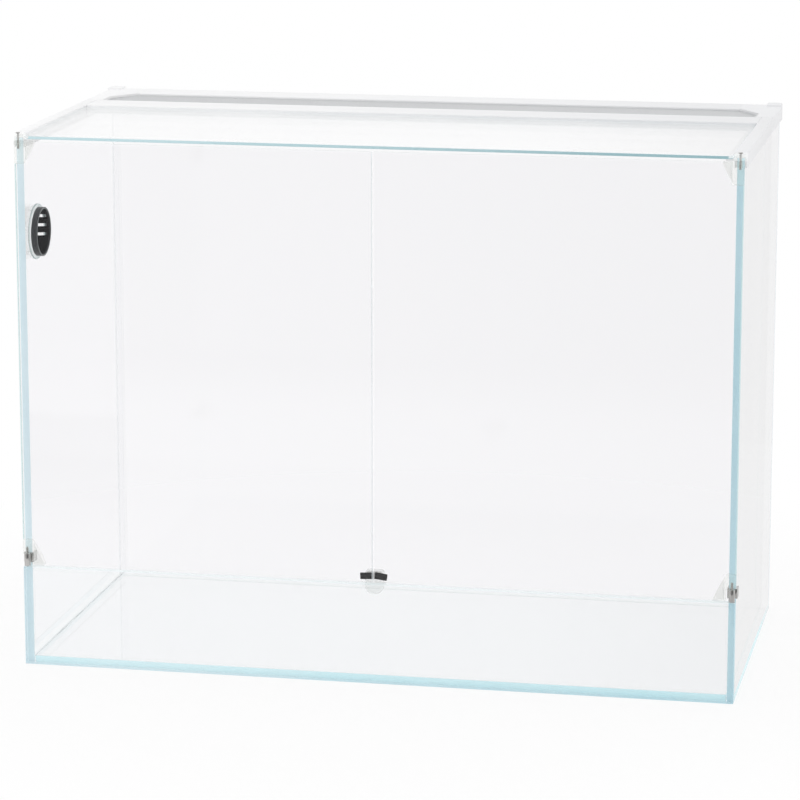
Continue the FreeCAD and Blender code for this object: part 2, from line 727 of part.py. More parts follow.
# A strike plate, bonded by hand to the inner face of a door beside the meeting edges, a little askew.
def strike_plate(side, tilt):
    back = DOOR_BACK + PLATE_BOND
    half_height = PLATE_HEIGHT / 2
    plate = box(
        -PLATE_WIDTH / 2, PLATE_WIDTH / 2, back, back + PLATE_THICKNESS, -half_height, half_height
    )
    corners = [edge for edge in plate.Edges if edge.BoundBox.YLength > PLATE_THICKNESS / 2]
    plate = plate.makeFillet(PLATE_CORNER_RADIUS, corners)
    plate.rotate(Vector(0, 0, 0), Vector(0, 1, 0), side * tilt)
    lean = half_height * math.sin(math.radians(tilt))
    middle = DOOR_INNER + PLATE_EDGE_GAP + PLATE_WIDTH / 2 + lean
    plate.translate(Vector(side * middle, 0, DOOR_BOTTOM + PLATE_RISE))
    return plate


# The round vent: a clear grommet in the hole of the left pane and a black louvred cap pushed over the
# collar on its inner side. The cap is a little turned, so that its slots fall towards the back.
def side_vent():
    outer_end = -HALF_WIDTH - VENT_FIT - GROMMET_FLANGE
    inner_end = -INNER_X + VENT_FIT + GROMMET_FLANGE
    cap_start = inner_end + VENT_FIT
    cap_end = cap_start + CAP_DEPTH
    face_end = cap_end - CAP_RIM
    face_start = face_end - CAP_FACE
    inner_radius = CAP_RADIUS - CAP_WALL

    collar_radius = inner_radius - VENT_FIT
    collar_end = face_start - COLLAR_END_GAP
    flange_radius = VENT_HOLE_RADIUS + GROMMET_LIP
    grommet = across(VENT_HOLE_RADIUS - VENT_FIT, outer_end, inner_end)
    grommet = grommet.fuse(
        [
            across(flange_radius, outer_end, outer_end + GROMMET_FLANGE),
            across(flange_radius, inner_end - GROMMET_FLANGE, inner_end),
            across(collar_radius, inner_end, collar_end),
        ]
    )
    grommet = grommet.cut(across(collar_radius - GROMMET_COLLAR, outer_end, collar_end))

    cuts = [across(inner_radius, cap_start, face_start), across(inner_radius, face_end, cap_end)]
    slot_room = across(inner_radius - CAP_SLOT_MARGIN, face_start, face_end)
    for number in range(CAP_SLOTS):
        low_z = VENT_HEIGHT + CAP_SLOT_TOP - number * CAP_SLOT_PITCH - CAP_SLOT_HEIGHT / 2
        slot = box(
            face_start,
            face_end,
            VENT_Y - CAP_SLOT_LENGTH / 2,
            VENT_Y + CAP_SLOT_LENGTH / 2,
            low_z,
            low_z + CAP_SLOT_HEIGHT,
        )
        cuts.append(slot.common(slot_room))
    cap = across(CAP_RADIUS, cap_start, cap_end).cut(cuts).removeSplitter()
    cap.rotate(Vector(0, VENT_Y, VENT_HEIGHT), Vector(1, 0, 0), CAP_TURN)
    return {"vent_grommet": grommet.removeSplitter(), "vent_louvre_cap": cap}


def paludarium():
    nodes = {}
    nodes.update(tank_glass())
    nodes.update(seams())
    nodes.update(top_frame())
    nodes["top_lid_glass"] = top_lid_glass()
    nodes.update(door_and_hinges())
    nodes.update(catch())
    nodes["left_strike_plate"] = strike_plate(-1, LEFT_PLATE_TILT)
    nodes["right_strike_plate"] = strike_plate(1, RIGHT_PLATE_TILT)
    nodes.update(side_vent())
    return nodes


os.makedirs("parts", exist_ok=True)
for name, shape in paludarium().items():
    shape.exportStep("parts/" + name + ".step")
    print(name, len(shape.Solids), shape.isValid(), round(shape.Volume, 1))
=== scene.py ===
"""The looks of a rimless glass paludarium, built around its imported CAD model."""
import bmesh
import bpy
import math
from mathutils import Matrix, Vector, noise


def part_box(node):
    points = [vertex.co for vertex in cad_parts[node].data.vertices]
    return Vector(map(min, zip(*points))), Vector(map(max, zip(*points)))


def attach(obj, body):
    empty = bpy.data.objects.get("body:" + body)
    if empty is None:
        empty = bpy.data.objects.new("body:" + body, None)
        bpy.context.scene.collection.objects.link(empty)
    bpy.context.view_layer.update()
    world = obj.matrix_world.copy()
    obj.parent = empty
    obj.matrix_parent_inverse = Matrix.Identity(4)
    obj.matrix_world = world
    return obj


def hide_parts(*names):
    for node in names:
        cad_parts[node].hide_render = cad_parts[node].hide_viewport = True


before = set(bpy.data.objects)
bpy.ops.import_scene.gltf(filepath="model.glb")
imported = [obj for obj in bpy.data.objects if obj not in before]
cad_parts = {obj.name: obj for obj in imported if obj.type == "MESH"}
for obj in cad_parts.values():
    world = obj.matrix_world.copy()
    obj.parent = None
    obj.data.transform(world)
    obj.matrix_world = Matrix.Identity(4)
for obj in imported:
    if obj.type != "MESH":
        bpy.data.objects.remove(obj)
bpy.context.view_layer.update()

scene = bpy.context.scene
scene.view_settings.view_transform = "Standard"

# The camera stands about three metres in front of the tank, a little to its right and above it,
# and looks slightly down at it through a long lens.
VIEW_FROM = (0.5843, -2.961, 0.862)
VIEW_YAW = math.radians(11.288)
VIEW_DIP = math.radians(12.205)
FOCAL_PIXELS = 3596
IMAGE_PIXELS = 800
SENSOR_WIDTH = 36.0

lens = bpy.data.cameras.new("camera")
lens.sensor_width = SENSOR_WIDTH
lens.lens = FOCAL_PIXELS / IMAGE_PIXELS * SENSOR_WIDTH
camera = bpy.data.objects.new("camera", lens)
camera.location = VIEW_FROM
camera.rotation_euler = (math.pi / 2 - VIEW_DIP, 0, VIEW_YAW)
scene.collection.objects.link(camera)
scene.camera = camera


# The table: a white sheet of board that the tank stands on. What the camera sees of it is nearly
# white by itself, and the rest of its colour comes from the lamps, so that a soft shadow stays.
# Mirrored in the panes it glows with a painted shade: greyer in front of the tank, towards its
# right and its front edge.
TABLE_HALF_WIDTH = 0.95
TABLE_FRONT = -0.90
TABLE_LIT_FRONT = -0.50
TABLE_BACK = 0.80
TABLE_DROP = 0.0002
TABLE_WHITE = (0.95, 0.95, 0.95, 1)
TABLE_NEAR = 0.34
TABLE_FAR = 0.62
TABLE_GLOW_NEAR = 0.84
TABLE_MIRRORED = 0.97
TABLE_MIRRORED_FRONT = 0.35
TABLE_MIRRORED_RIGHT = 0.70
TABLE_MIRRORED_BACK = 0.90
TABLE_GREYING = 0.32
TABLE_GREY_START = -0.25
TABLE_GREY_END = -0.05
WHITE = (1, 1, 1, 1)
BLACK = (0, 0, 0, 1)
SEE_THROUGH_STEPS = 32


class Wire:
    """A socket of a node tree. Sums with it add Math nodes, and add() makes any other node."""

    def __init__(self, tree, socket=None):
        self.tree = tree
        self.socket = socket

    def add(self, kind, settings, sockets, output=0):
        node = self.tree.nodes.new("ShaderNode" + kind)
        for name, value in settings.items():
            setattr(node, name, value)
        for key, value in sockets.items():
            if isinstance(value, Wire):
                self.tree.links.new(value.socket, node.inputs[key])
            else:
                node.inputs[key].default_value = value
        return Wire(self.tree, node.outputs[output] if node.outputs else None)

    def sum(self, operation, first, second):
        return self.add("Math", {"operation": operation}, {0: first, 1: second})

    def eased(self, start, end, first, last):
        """Goes smoothly from first to last while this value goes from start to end."""
        limits = {"From Min": start, "From Max": end, "To Min": first, "To Max": last}
        return self.add("MapRange", {"interpolation_type": "SMOOTHSTEP"}, {"Value": self, **limits})

    def __add__(self, other):
        return self.sum("ADD", self, other)

    def __radd__(self, other):
        return self.sum("ADD", other, self)

    def __sub__(self, other):
        return self.sum("SUBTRACT", self, other)

    def __rsub__(self, other):
        return self.sum("SUBTRACT", other, self)

    def __mul__(self, other):
        return self.sum("MULTIPLY", self, other)

    def __rmul__(self, other):
        return self.sum("MULTIPLY", other, self)

    def __pow__(self, other):
        return self.sum("POWER", self, other)

    def __rpow__(self, other):
        return self.sum("POWER", other, self)


def new_finish(name):
    """An empty material and a wire to build its nodes with."""
    finish = bpy.data.materials.new(name)
    finish.use_nodes = True
    finish.node_tree.nodes.clear()
    return finish, Wire(finish.node_tree)


def ways_of_seeing(wire):
    """1 for the rays that show the surroundings straight or through glass, and 1 for mirrored ones."""
    camera_ray = wire.add("LightPath", {}, {}, "Is Camera Ray")
    glass_ray = wire.add("LightPath", {}, {}, "Is Transmission Ray")
    mirrored_ray = wire.add("LightPath", {}, {}, "Is Glossy Ray")
    straight = wire.sum("MAXIMUM", camera_ray, glass_ray)
    return straight, (1 - straight) * mirrored_ray


def joined(form, name, finishes):
    """Turns a bmesh into an object with its finishes, and links it to the scene."""
    mesh = bpy.data.meshes.new(name)
    form.to_mesh(mesh)
    form.free()
    for finish in finishes:
        mesh.materials.append(finish)
    piece = bpy.data.objects.new(name, mesh)
    scene.collection.objects.link(piece)
    return piece


table_finish, wire = new_finish("table_white_board")
place = wire.add("TexCoord", {}, {}, "Object")
from_middle = wire.add("VectorMath", {"operation": "LENGTH"}, {0: place}, "Value")
from_front = wire.add("SeparateXYZ", {}, {"Vector": place}, "Y")
to_right = wire.add("SeparateXYZ", {}, {"Vector": place}, "X")
straight, mirrored = ways_of_seeing(wire)
lit_board = wire.add("BsdfDiffuse", {}, {"Color": TABLE_WHITE})
in_front = from_front.eased(
    TABLE_GREY_START, TABLE_GREY_END, 1 - TABLE_MIRRORED_RIGHT, 1 - TABLE_MIRRORED_BACK
)
# Painted shade on the board as the panes mirror it.
mirrored_painted_shade = from_front.eased(
    TABLE_FRONT, TABLE_LIT_FRONT, TABLE_MIRRORED_FRONT, TABLE_MIRRORED
) * (1 - in_front * to_right.eased(-TABLE_GREYING, TABLE_GREYING, 0.0, 1.0))
brightness = straight + mirrored * mirrored_painted_shade
shade = wire.add("Mix", {"data_type": "RGBA"}, {0: brightness, 6: BLACK, 7: WHITE}, 2)
white = wire.add("Emission", {}, {"Color": shade})
glow = from_middle.eased(TABLE_NEAR, TABLE_FAR, TABLE_GLOW_NEAR, 1.0) * straight + mirrored
board = wire.add("MixShader", {}, {0: glow, 1: lit_board, 2: white})
wire.add("OutputMaterial", {}, {"Surface": board})

form = bmesh.new()
corners = [
    (-TABLE_HALF_WIDTH, TABLE_FRONT, -TABLE_DROP),
    (TABLE_HALF_WIDTH, TABLE_FRONT, -TABLE_DROP),
    (TABLE_HALF_WIDTH, TABLE_BACK, -TABLE_DROP),
    (-TABLE_HALF_WIDTH, TABLE_BACK, -TABLE_DROP),
]
form.faces.new([form.verts.new(corner) for corner in corners])
table = joined(form, "table", [table_finish])
scene.cycles.transparent_max_bounces = SEE_THROUGH_STEPS


# The studio: a white room behind the tank that darkens towards the front, with a grey screen behind
# to the right, and three soft lamps that light the matt pieces and do not show in the panes. Each
# pair is where a change in the room starts and ends, as a part of a direction of length 1.
ROOM_LIGHT = 0.88
ROOM_LIGHT_FRONT = 0.82
ROOM_FRONT_LEFT = 0.55
ROOM_FRONT_RIGHT = 0.20
SCREEN_GREY = 0.86
SCREEN_LEFT = (-0.17, -0.05)
SCREEN_RIGHT = (0.18, 0.26)
SCREEN_FRONT = (0.3, 0.6)
DARK_CORNER = (-0.30, -0.08)
MIRRORED_DEPTH = (-0.9, 0.2)
LIT_DEPTH = (-0.8, 0.3)
LAMPS = {
    "overhead_lamp": {"place": (-0.2, 0.0, 2.2), "size": (1.8, 1.8), "power": 2.5},
    "left_lamp": {"place": (-1.9, -1.6, 1.5), "size": (1.4, 1.4), "power": 7.0},
    "right_lamp": {"place": (2.0, -1.5, 1.4), "size": (1.4, 1.4), "power": 5.0},
}
LAMP_AIM = Vector((0, 0, 0.25))

room = bpy.data.worlds.new("studio")
room.use_nodes = True
room.node_tree.nodes.clear()
scene.world = room
wire = Wire(room.node_tree)
direction = wire.add("TexCoord", {}, {}, "Generated")
to_right = wire.add("SeparateXYZ", {}, {"Vector": direction}, "X")
to_back = wire.add("SeparateXYZ", {}, {"Vector": direction}, "Y")
straight, mirrored = ways_of_seeing(wire)
screen = to_right.eased(*SCREEN_LEFT, 0.0, 1.0) * to_right.eased(*SCREEN_RIGHT, 1.0, 0.0)
screen = screen * to_back.eased(*SCREEN_FRONT, 0.0, 1.0)
front_room = to_right.eased(*DARK_CORNER, ROOM_FRONT_LEFT, ROOM_FRONT_RIGHT)
behind = to_back.eased(*MIRRORED_DEPTH, 0.0, 1.0)
mirrored_room = (front_room + (1 - front_room) * behind) * (1 - (1 - SCREEN_GREY) * screen)
soft_room = to_back.eased(*LIT_DEPTH, ROOM_LIGHT_FRONT, ROOM_LIGHT)
strength = straight + mirrored * mirrored_room + (1 - straight - mirrored) * soft_room
sky = wire.add("Background", {}, {"Color": WHITE, "Strength": strength})
wire.add("OutputWorld", {}, {"Surface": sky})

for name, lamp in LAMPS.items():
    light = bpy.data.lights.new(name, "AREA")
    light.shape = "RECTANGLE"
    light.size, light.size_y = lamp["size"]
    light.energy = lamp["power"]
    holder = bpy.data.objects.new(name, light)
    holder.visible_camera = False
    holder.visible_glossy = False
    holder.location = lamp["place"]
    holder.rotation_euler = (LAMP_AIM - Vector(lamp["place"])).to_track_quat("-Z", "Y").to_euler()
    scene.collection.objects.link(holder)


# The glass tank: five panes of clear float glass, cut to size and ground along every edge. The flat
# faces are almost invisible, while the edges look pale blue-green, with a painted glow and painted
# light that is paler towards the left and where they face up.
ARRIS = 0.0003
EVEN_MIRROR = 0.025
PANE_TINT = (0.990, 0.989, 0.993, 1)
PANEL_TINT = (0.984, 0.991, 0.993, 1)
EDGE_DEEP = (0.42, 0.66, 0.74, 1)
EDGE_PALE = (0.68, 0.81, 0.86, 1)
# The colour painted on edges that face up, as painted light.
EDGE_TOP = (0.86, 0.95, 0.96, 1)
EDGE_REAR = (0.74, 0.80, 0.82, 1)
FLOOR_EDGE_DEEP = (0.60, 0.88, 0.93, 1)
FLOOR_EDGE_PALE = (0.74, 0.94, 0.97, 1)
# The strength of the painted glow on the ground edges.
PAINTED_EDGE_GLOW = 0.12
# How much paler the edges are painted towards the lit left side.
EDGE_LIT_LEFT = 0.8
EDGE_CLOUDING = 0.4
EDGE_ROUGH = 0.18
ARRIS_ROUGH = 0.4
EDGE_OPEN = 0.25
ARRIS_OPEN = 0.5
EDGE_GRIND = 0.1
REAR_START = 0.05
REAR_END = 0.15
FACE_POLISH = 0.01
FACE_HAZE = 0.05
INSIDE_POLISH = 0.03
MIRROR_POWER = 5
INSIDE_TINT = (0.999, 0.999, 0.999, 1)
INSIDE_CLEAR = 0.99
PANEL_INSIDE_CLEAR = 0.05
BACK_END_CLEAR = 0.6
TOP_CLEAR = 0.75
PANEL_TOP_CLEAR = 0.45
HALF_LENGTH = 0.3
AXES = {"x": 0, "y": 1, "z": 2}
SHARP_ANGLE = math.radians(30)
SQUARE_ON = 0.99
UNDERSIDE = -0.1
FACE_FINISH, EDGE_FINISH, ARRIS_FINISH, OWN_FINISH, MEETING_FINISH = range(5)


def clear_face(name, tint, mirror_share):
    """Flat glass: what is behind shows straight through, and the mirror grows at a low angle."""
    finish, wire = new_finish(name)
    place = wire.add("TexCoord", {}, {}, "Object")
    ripple = wire.add("TexNoise", {}, {"Vector": place, "Scale": 7.0, "Detail": 1.0})
    rolled = wire.add("Bump", {}, {"Height": ripple, "Strength": 0.03, "Distance": 0.002})
    wiped = wire.add("Mapping", {}, {"Vector": place, "Scale": (30.0, 30.0, 5.0)})
    haze = wire.add("TexNoise", {}, {"Vector": wiped, "Scale": 1.0, "Detail": 4.0})
    facing = wire.add("LayerWeight", {}, {"Blend": 0.5}, "Facing")
    mirror = mirror_share + (1 - mirror_share) * facing ** MIRROR_POWER
    through = wire.add("BsdfTransparent", {}, {"Color": tint})
    polish = FACE_POLISH + FACE_HAZE * haze
    gloss = {"Color": WHITE, "Roughness": polish, "Normal": rolled}
    shine = wire.add("BsdfAnisotropic", {}, gloss)
    glass = wire.add("MixShader", {}, {0: mirror, 1: through, 2: shine})
    wire.add("OutputMaterial", {}, {"Surface": glass})
    return finish


def ground_edge(
    name,
    deep,
    pale,
    roughness,
    open_share,
    inside_clear=INSIDE_CLEAR,
    painted_edge_glow=PAINTED_EDGE_GLOW,
    top_clear=TOP_CLEAR,
    painted_white_inside=False,
):
    """The ground edge of a pane: a painted glow of its own colour stands in for light that has run
    through the glass and comes out of it.

    Its colour has painted light: it is deepest at the right, paler towards the lit window side at the
    left, and painted palest, and half clear, where it faces up. It is grey at the back. From within
    the pane it is nearly clear, and mirrors at a low angle, but with its last argument set it has a
    painted white highlight from there.
    """
    finish, wire = new_finish(name)
    place = wire.add("TexCoord", {}, {}, "Object")
    bands = wire.add("TexNoise", {}, {"Vector": place, "Scale": 9.0, "Detail": 2.0})
    # Painted light: paler towards the lit left side.
    to_left = wire.add("SeparateXYZ", {}, {"Vector": place}, "X").eased(
        -HALF_LENGTH, HALF_LENGTH, EDGE_LIT_LEFT, 0.0
    )
    paleness = to_left + EDGE_CLOUDING * bands - EDGE_CLOUDING / 4
    tone = wire.add("Mix", {"data_type": "RGBA"}, {0: paleness, 6: deep, 7: pale}, 2)
    to_back = wire.add("SeparateXYZ", {}, {"Vector": place}, "Y").eased(
        REAR_START, REAR_END, 0.0, 1.0
    )
    tone = wire.add("Mix", {"data_type": "RGBA"}, {0: to_back, 6: tone, 7: EDGE_REAR}, 2)
    normal = wire.add("NewGeometry", {}, {}, "True Normal")
    from_inside = wire.add("NewGeometry", {}, {}, "Backfacing")
    upward = wire.sum("MAXIMUM", wire.add("SeparateXYZ", {}, {"Vector": normal}, "Z"), 0.0)
    from_top = upward * (1 - from_inside)
    # Painted light: edges that face up are painted paler.
    colour = wire.add("Mix", {"data_type": "RGBA"}, {0: from_top, 6: tone, 7: EDGE_TOP}, 2)
    # A painted white highlight on the edge where it is seen from within.
    if painted_white_inside:
        colour = wire.add("Mix", {"data_type": "RGBA"}, {0: from_inside, 6: colour, 7: WHITE}, 2)
    grinding = wire.add("TexNoise", {}, {"Vector": place, "Scale": 2200.0, "Detail": 2.0})
    rough = wire.add("Bump", {}, {"Height": grinding, "Strength": 0.03, "Distance": 0.0002})
    # The emission is a painted glow of the edge's own colour.
    body = wire.add(
        "BsdfPrincipled",
        {},
        {
            "Base Color": colour,
            "Roughness": roughness + EDGE_GRIND * grinding,
            "IOR": 1.5,
            "Normal": rough,
            "Emission Color": colour,
            "Emission Strength": painted_edge_glow,
        },
    )
    facing = wire.add("LayerWeight", {}, {"Blend": 0.5}, "Facing")
    clear = wire.add("BsdfTransparent", {}, {"Color": INSIDE_TINT})
    shine = wire.add("BsdfAnisotropic", {}, {"Color": WHITE, "Roughness": INSIDE_POLISH})
    mirror = from_inside * facing ** MIRROR_POWER
    through = wire.add("MixShader", {}, {0: mirror, 1: clear, 2: shine})
    solid = (1 - open_share * bands) * (1 - inside_clear * from_inside) * (1 - top_clear * from_top)
    edge = wire.add("MixShader", {}, {0: solid, 1: through, 2: body})
    wire.add("OutputMaterial", {}, {"Surface": edge})
    return finish


def prism(outline, axis, low, high):
    """A bmesh prism from an outline of points in the plane across the axis."""
    form = bmesh.new()
    at = AXES[axis]

    def corner(point, depth):
        place = list(point)
        place.insert(at, depth)
        return form.verts.new(place)

    floor = [corner(point, low) for point in outline]
    roof = [corner(point, high) for point in outline]
    form.faces.new(floor[::-1])
    form.faces.new(roof)
    for here in range(len(outline)):
        after = (here + 1) % len(outline)
        form.faces.new([floor[here], floor[after], roof[after], roof[here]])
    bmesh.ops.recalc_face_normals(form, faces=form.faces)
    return form


def bevelled(form, size, segments, angle=SHARP_ANGLE):
    """Takes off the edges that are sharper than the angle."""
    form.normal_update()
    sharp = [edge for edge in form.edges if edge.is_manifold and edge.calc_face_angle() > angle]
    bmesh.ops.bevel(
        form,
        geom=sharp,
        offset=size,
        offset_type="OFFSET",
        segments=segments,
        profile=0.5,
        affect="EDGES",
        clamp_overlap=True,
    )
    form.normal_update()
    return form


def pane_faces(form, axis):
    """Tells the flat sides, the edges with their lower arrises, and the other arrises apart."""
    at = AXES[axis]
    for face in form.faces:
        straight = max(abs(value) for value in face.normal)
        if abs(face.normal[at]) > SQUARE_ON:
            face.material_index = FACE_FINISH
        elif straight > SQUARE_ON or face.normal.z < UNDERSIDE:
            face.material_index = EDGE_FINISH
        else:
            face.material_index = ARRIS_FINISH
    return form


def smooth(piece):
    """Shades a piece round, apart from its sharp edges."""
    for face in piece.data.polygons:
        face.use_smooth = True
    piece.data.set_sharp_from_angle(angle=SHARP_ANGLE)
    return piece


def placed(piece, body, node):
    """The piece rides on its body and stands for the CAD node, which is hidden."""
    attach(piece, body)
    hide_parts(node)


def rectangle(low, high):
    """The four corners between two opposite ones, in order."""
    return [(low[0], low[1]), (high[0], low[1]), (high[0], high[1]), (low[0], high[1])]


def across(corner, axis):
    """A corner as a point in the plane across the axis."""
    return [value for index, value in enumerate(corner) if index != AXES[axis]]


def box_pane(name, axis, finishes):
    """A pane as large as its CAD node, with its edges ground off.

    The lowest strip on the outside of a side pane takes the colour of the floor's edge behind it,
    and the upright ends of the back pane have a finish of their own.
    """
    low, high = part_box(name)
    outline = rectangle(across(low, axis), across(high, axis))
    form = prism(outline, axis, low[AXES[axis]], high[AXES[axis]])
    form = pane_faces(bevelled(form, ARRIS, 1), axis)
    if name == "back_glass":
        for face in form.faces:
            if abs(face.normal.x) > SQUARE_ON:
                face.material_index = OWN_FINISH
    if axis == "x":
        strip_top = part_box("base_glass")[1].z
        whole = form.verts[:] + form.edges[:] + form.faces[:]
        bmesh.ops.bisect_plane(form, geom=whole, plane_co=(0, 0, strip_top), plane_no=(0, 0, 1))
        for face in form.faces:
            middle = face.calc_center_median()
            outward = face.normal.x * middle.x / abs(middle.x)
            if outward > SQUARE_ON and middle.z < strip_top:
                face.material_index = OWN_FINISH
    return joined(form, name + "_pane", finishes)


tank_glass = [
    clear_face("tank_glass_face", PANE_TINT, EVEN_MIRROR),
    ground_edge("tank_glass_edge", EDGE_DEEP, EDGE_PALE, EDGE_ROUGH, EDGE_OPEN),
    ground_edge("tank_glass_arris", EDGE_DEEP, EDGE_PALE, ARRIS_ROUGH, ARRIS_OPEN),
    ground_edge("floor_glass_edge", FLOOR_EDGE_DEEP, FLOOR_EDGE_PALE, EDGE_ROUGH, EDGE_OPEN),
]
panel_face = clear_face("front_panel_face", PANEL_TINT, EVEN_MIRROR)
panel_edge = ground_edge(
    "front_panel_edge",
    EDGE_DEEP,
    EDGE_PALE,
    EDGE_ROUGH,
    EDGE_OPEN,
    PANEL_INSIDE_CLEAR,
    top_clear=PANEL_TOP_CLEAR,
)
panel_glass = [panel_face, panel_edge, panel_edge]
floor_glass = [tank_glass[FACE_FINISH], tank_glass[OWN_FINISH], tank_glass[ARRIS_FINISH]]
back_end = ground_edge(
    "back_pane_end", EDGE_DEEP, EDGE_PALE, EDGE_ROUGH, EDGE_OPEN, BACK_END_CLEAR
)
back_glass = tank_glass[:OWN_FINISH] + [back_end]
for node, axis, finishes in (
    ("base_glass", "z", floor_glass),
    ("back_glass", "y", back_glass),
    ("front_lower_glass", "y", panel_glass),
    ("right_side_glass", "x", tank_glass),
):
    placed(box_pane(node, axis, finishes), "tank", node)


# The left pane: the same float glass as the other walls, with a round hole bored through it for the
# vent. The bore is polished and stays clear.
VENT_HOLE_RADIUS = 0.0215
VENT_MIDDLE = Vector((-0.297, -0.1135, 0.365))
HOLE_SIDES = 96
HOLE_DEPTH = 0.03

left_pane = box_pane("left_side_glass", "x", tank_glass)
form = bmesh.new()
bmesh.ops.create_cone(
    form,
    cap_ends=True,
    segments=HOLE_SIDES,
    radius1=VENT_HOLE_RADIUS,
    radius2=VENT_HOLE_RADIUS,
    depth=HOLE_DEPTH,
    matrix=Matrix.Translation(VENT_MIDDLE) @ Matrix.Rotation(math.pi / 2, 4, "Y"),
)
drill = joined(form, "drill", tank_glass)
bored = left_pane.modifiers.new("bored", "BOOLEAN")
bored.operation = "DIFFERENCE"
bored.solver = "EXACT"
bored.object = drill
bpy.context.view_layer.update()
bored_mesh = bpy.data.meshes.new_from_object(
    left_pane.evaluated_get(bpy.context.evaluated_depsgraph_get())
)
left_pane.modifiers.clear()
left_pane.data = bored_mesh
bpy.data.objects.remove(drill)
placed(left_pane, "tank", "left_side_glass")


# The silicone: clear sealant in the joints between the panes, with a bead smoothed by a finger along
# every inner corner. It is a little cloudy and never quite even.
BEAD = 0.0022
SEAM = 0.0006
SEAM_PLAY = 0.00004
SEAM_FOOT = 0.0005
BEAD_STEPS = 4
BEAD_RUN = 0.012
BEAD_WANDER = 0.16
BEAD_WAVES = 45
FLOOR_SEED = 3.1
CORNER_SEED = 7.7
FACING = 0.9
PAINTED_SHADE_FINISH = 1
SILICONE_ROUGH = 0.25
SILICONE_UNEVEN = 0.2
SILICONE = (0.60, 0.64, 0.66, 1)
SILICONE_PALE = (0.86, 0.89, 0.91, 1)
SILICONE_CLEAR = (0.998, 0.998, 0.998, 1)
BEAD_CLOUD = 0.03
JOINT_CLOUD = 1.1
JOINT_DEPTH = 0.0009
# The dark colours of painted shade along the joint under the left pane.
JOINT_PAINTED_SHADE = (0.20, 0.23, 0.25, 1)
JOINT_PAINTED_SHADE_GREY = (0.34, 0.37, 0.40, 1)


def silicone_finish(name, cloudiness, deep=SILICONE, pale=SILICONE_PALE):
    """Sealant that is clear where it is thin, with clouds in it and marks of the finger."""
    finish, wire = new_finish(name)
    place = wire.add("TexCoord", {}, {}, "Object")
    cloud = wire.add("TexNoise", {}, {"Vector": place, "Scale": 40.0, "Detail": 3.0})
    colour = wire.add("Mix", {"data_type": "RGBA"}, {0: cloud, 6: deep, 7: pale}, 2)
    drag = wire.add("TexNoise", {}, {"Vector": place, "Scale": 500.0, "Detail": 2.0})
    uneven = wire.add("Bump", {}, {"Height": drag, "Strength": 0.2, "Distance": 0.0004})
    matt = SILICONE_ROUGH + SILICONE_UNEVEN * cloud
    skin = {"Base Color": colour, "Roughness": matt, "IOR": 1.41, "Normal": uneven}
    body = wire.add("BsdfPrincipled", {}, skin)
    through = wire.add("BsdfTransparent", {}, {"Color": SILICONE_CLEAR})
    sealant = wire.add("MixShader", {}, {0: cloudiness * cloud, 1: through, 2: body})
    wire.add("OutputMaterial", {}, {"Surface": sealant})
    return finish


def wander(x, y, z, seed):
    """A slow unevenness along a bead, near 1."""
    along = Vector((x * BEAD_WAVES + seed, y * BEAD_WAVES, z * BEAD_WAVES))
    return 1 + BEAD_WANDER * noise.noise(along)


def hollow_bead(size):
    """The concave face of a bead, from the far end of one leg to the far end of the other."""
    turns = [math.pi / 2 * step / BEAD_STEPS for step in range(BEAD_STEPS + 1)]
    return [(size * (1 - math.sin(turn)), size * (1 - math.cos(turn))) for turn in turns]


def swept(sections, closed):
    """Joins rings of points into one skin, closed into a loop or capped at both ends."""
    form = bmesh.new()
    rings = [[form.verts.new(point) for point in section] for section in sections]
    pairs = list(zip(rings, rings[1:] + rings[:1])) if closed else list(zip(rings, rings[1:]))
    for ring, following in pairs:
        for here in range(len(ring)):
            after = (here + 1) % len(ring)
            form.faces.new([ring[here], ring[after], following[after], following[here]])
    if not closed:
        form.faces.new(rings[0][::-1])
        form.faces.new(rings[-1])
    bmesh.ops.recalc_face_normals(form, faces=form.faces)
    return form


floor_silicone = silicone_finish("floor_silicone", BEAD_CLOUD)
corner_silicone = silicone_finish("corner_silicone", BEAD_CLOUD)
painted_shade_silicone = silicone_finish("side_joint_silicone", JOINT_CLOUD, JOINT_PAINTED_SHADE, JOINT_PAINTED_SHADE_GREY)
floor_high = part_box("floor_seam")[1]
floor_pane_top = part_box("base_glass")[1].z
dark_foot = floor_pane_top - JOINT_DEPTH
inner_x, inner_y = floor_high.x, floor_high.y
path = []
for (x0, y0), (x1, y1) in (
    ((-1, -1), (1, -1)),
    ((1, -1), (1, 1)),
    ((1, 1), (-1, 1)),
    ((-1, 1), (-1, -1)),
):
    run = inner_x * 2 if x0 != x1 else inner_y * 2
    steps = round(run / BEAD_RUN)
    path += [(x0 + (x1 - x0) * s / steps, y0 + (y1 - y0) * s / steps) for s in range(steps)]
sections = []
for across_x, across_y in path:
    size = BEAD * wander(across_x * inner_x, across_y * inner_y, 0, FLOOR_SEED)
    bond = SEAM - SEAM_PLAY
    bead_foot = floor_pane_top + SEAM_PLAY
    profile = [(SEAM_PLAY, SEAM_FOOT), (bond, SEAM_FOOT), (bond, dark_foot), (bond, bead_foot)]
    profile += [(SEAM_PLAY + reach, bead_foot + rise) for reach, rise in hollow_bead(size)]
    profile.append((SEAM_PLAY, dark_foot))
    sections.append(
        [(across_x * (inner_x - reach), across_y * (inner_y - reach), z) for reach, z in profile]
    )
form = swept(sections, True)
# Along the left pane, the face of the joint just under the bead is painted dark, as painted shade.
for face in form.faces:
    middle = face.calc_center_median()
    if middle.x < 0 and face.normal.x > FACING and dark_foot < middle.z < floor_pane_top:
        face.material_index = PAINTED_SHADE_FINISH
floor_bead = joined(form, "floor_bead", [floor_silicone, painted_shade_silicone])
placed(smooth(floor_bead), "tank", "floor_seam")

